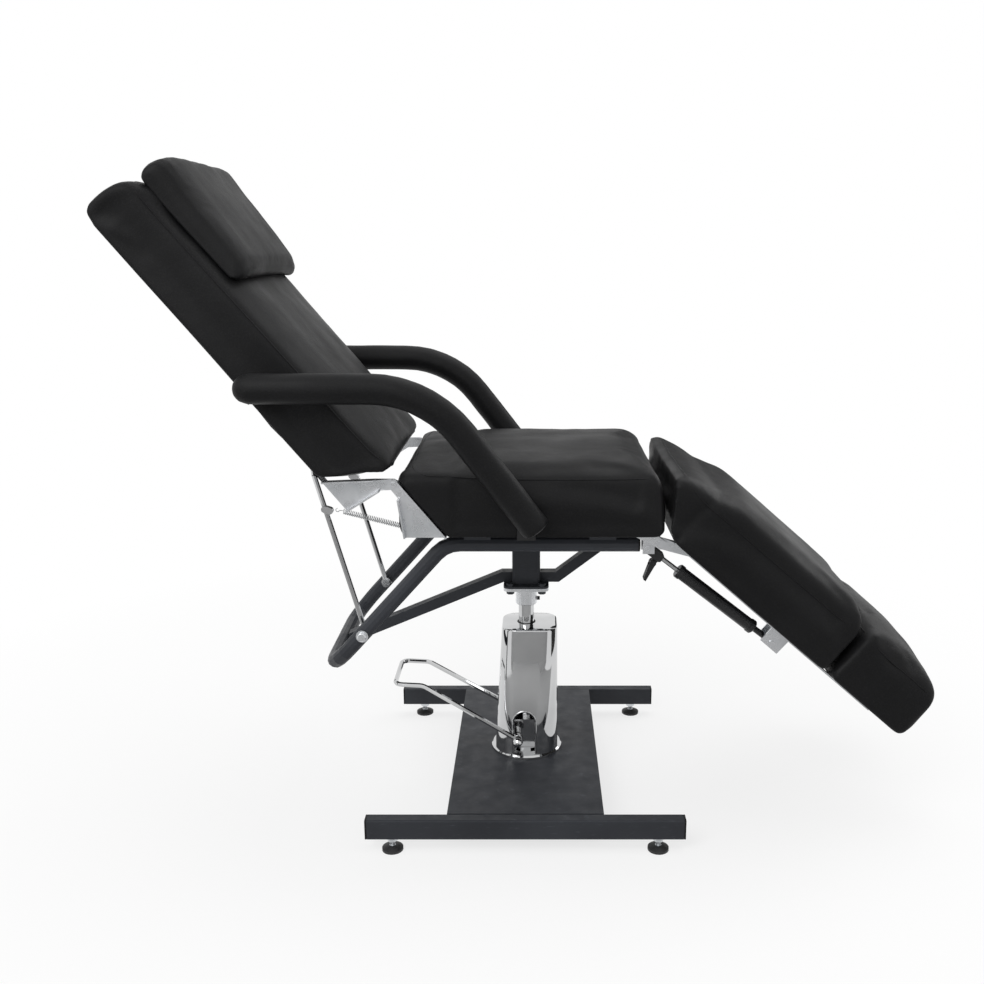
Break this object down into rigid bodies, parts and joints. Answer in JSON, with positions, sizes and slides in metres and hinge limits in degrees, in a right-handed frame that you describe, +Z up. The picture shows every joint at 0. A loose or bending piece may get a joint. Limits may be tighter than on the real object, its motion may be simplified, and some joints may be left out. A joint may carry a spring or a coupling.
{
  "type": "treatment couch",
  "caption": "Treatment couch with a foot-pumped column, tubular seat frame, reclining back, swinging padded armrests and a tilting leg rest on a gas spring.",
  "frame": {"origin": "on the floor, under the middle of the couch's length and width at rest", "axes": "+X towards the foot end, +Y towards the side away from the picture's viewer, +Z up"},
  "size_m": [1.5267, 0.635, 1.2594],
  "materials": {
    "vinyl": "black faux leather, soft sheen",
    "grey_powder_coat": "dark grey powder coat",
    "chrome": "polished chrome",
    "bright_zinc": "bright zinc plate",
    "black_steel": "black enamel",
    "black_plastic": "black moulded plastic",
    "plywood": "raw plywood",
    "spring_steel": "bright spring wire"
  },
  "bodies": {
    "base": {"base_bar_left": "grey_powder_coat", "base_bar_right": "grey_powder_coat", "base_plate": "grey_powder_coat", "pump_flange": "chrome", "pump_housing": "black_steel", "rod_wiper": "black_plastic", "pump_cover": "chrome"},
    "foot_1": {"levelling_foot_1": "black_plastic"},
    "foot_2": {"levelling_foot_2": "black_plastic"},
    "foot_3": {"levelling_foot_3": "black_plastic"},
    "foot_4": {"levelling_foot_4": "black_plastic"},
    "pedal": {"foot_pedal": "chrome"},
    "lift": {"lift_piston": "black_steel"},
    "seat": {"lift_rod": "chrome", "rod_socket": "bright_zinc", "mounting_plate": "bright_zinc", "post_foot_plate": "grey_powder_coat", "post": "grey_powder_coat", "seat_frame": "grey_powder_coat", "post_cross_member": "grey_powder_coat", "front_cross_member": "grey_powder_coat", "rear_brace": "grey_powder_coat", "front_brace": "grey_powder_coat", "seat_board": "plywood", "seat_cushion": "vinyl", "seat_hinge_plate_left": "bright_zinc", "seat_hinge_plate_right": "bright_zinc", "arm_pivot_plate_left": "black_steel", "arm_pivot_plate_right": "black_steel", "bail_bolt_left": "bright_zinc", "bail_bolt_right": "bright_zinc", "return_spring_left": "spring_steel", "return_spring_right": "spring_steel", "seat_leg_leaf_left": "bright_zinc", "seat_leg_leaf_right": "bright_zinc", "strut_seat_clip": "bright_zinc"},
    "backrest": {"back_cushion": "vinyl", "back_board": "plywood", "head_pillow": "vinyl", "back_hinge_plate_left": "bright_zinc", "back_hinge_plate_right": "bright_zinc", "rack_plate_left": "black_steel", "rack_plate_right": "black_steel", "arm_link_plate_left": "black_steel", "arm_link_plate_right": "black_steel"},
    "bail": {"recline_bail": "chrome"},
    "armrest_left": {"armrest_left": "vinyl"},
    "armrest_right": {"armrest_right": "vinyl"},
    "legrest": {"leg_cushion": "vinyl", "foot_cushion": "vinyl", "leg_board": "plywood", "foot_board": "plywood", "knee_bolster": "vinyl", "leg_leaf_left": "bright_zinc", "leg_leaf_right": "bright_zinc", "strut_leg_clip": "bright_zinc"},
    "gas_spring": {"strut_head": "black_steel", "strut_rod": "chrome"},
    "gas_cylinder": {"gas_cylinder": "black_steel"},
    "release_paddle": {"release_paddle": "black_plastic"}
  },
  "joints": [
    {"name": "foot_1_level", "type": "slide", "parent": "base", "child": "foot_1", "axis": [0, 0, -1], "range_m": [0, 0.01]},
    {"name": "foot_2_level", "type": "slide", "parent": "base", "child": "foot_2", "axis": [0, 0, -1], "range_m": [0, 0.01]},
    {"name": "foot_3_level", "type": "slide", "parent": "base", "child": "foot_3", "axis": [0, 0, -1], "range_m": [0, 0.01]},
    {"name": "foot_4_level", "type": "slide", "parent": "base", "child": "foot_4", "axis": [0, 0, -1], "range_m": [0, 0.01]},
    {"name": "pedal_pump", "type": "hinge", "parent": "base", "child": "pedal", "pos_m": [-0.0399, 0, 0.112], "axis": [0, -1, 0], "range_deg": [0, 22], "stiffness_Nm_per_rad": 2, "springref_deg": -34.38},
    {"name": "lift_slide", "type": "slide", "parent": "base", "child": "lift", "axis": [0, 0, 1], "range_m": [0, 0.15]},
    {"name": "seat_swivel", "type": "hinge", "parent": "lift", "child": "seat", "pos_m": [-0.0219, 0, 0.4], "axis": [0, 0, 1], "continuous": true},
    {"name": "backrest_recline", "type": "hinge", "parent": "seat", "child": "backrest", "pos_m": [-0.2605, 0, 0.6857], "axis": [0, -1, 0], "range_deg": [0, 45]},
    {"name": "bail_swing", "type": "hinge", "parent": "seat", "child": "bail", "pos_m": [-0.3337, 0, 0.382], "axis": [0, -1, 0], "range_deg": [0, 35.6], "deforming": ["return_spring_left", "return_spring_right"]},
    {"name": "armrest_left_swing", "type": "hinge", "parent": "seat", "child": "armrest_left", "pos_m": [-0.0199, -0.27, 0.641], "axis": [0, -1, 0], "range_deg": [0, 25]},
    {"name": "armrest_right_swing", "type": "hinge", "parent": "seat", "child": "armrest_right", "pos_m": [-0.0199, 0.27, 0.641], "axis": [0, -1, 0], "range_deg": [0, 25]},
    {"name": "legrest_tilt", "type": "hinge", "parent": "seat", "child": "legrest", "pos_m": [0.2301, 0, 0.57], "axis": [0, -1, 0], "range_deg": [0, 41], "deforming": ["knee_bolster"]},
    {"name": "gas_spring_swing", "type": "hinge", "parent": "seat", "child": "gas_spring", "pos_m": [0.2071, -0.17, 0.555], "axis": [0, -1, 0], "range_deg": [0, 39]},
    {"name": "gas_spring_stroke", "type": "slide", "parent": "gas_spring", "child": "gas_cylinder", "axis": [0.7898, 0, -0.6134], "range_m": [0, 0.0155]},
    {"name": "paddle_squeeze", "type": "hinge", "parent": "gas_spring", "child": "release_paddle", "pos_m": [0.2183, -0.17, 0.52541], "axis": [0, 1, 0], "range_deg": [0, 15], "stiffness_Nm_per_rad": 0.03, "springref_deg": -22.92}
  ],
  "couplings": [
    {"joint": "bail_swing", "follows": "backrest_recline", "ratio": 0.78889},
    {"joint": "armrest_left_swing", "follows": "backrest_recline", "ratio": 0.54904},
    {"joint": "armrest_right_swing", "follows": "backrest_recline", "ratio": 0.54904},
    {"joint": "gas_spring_swing", "follows": "legrest_tilt", "ratio": 0.94641},
    {"joint": "gas_spring_stroke", "follows": "legrest_tilt", "m_per_rad": 0.021051}
  ]
}
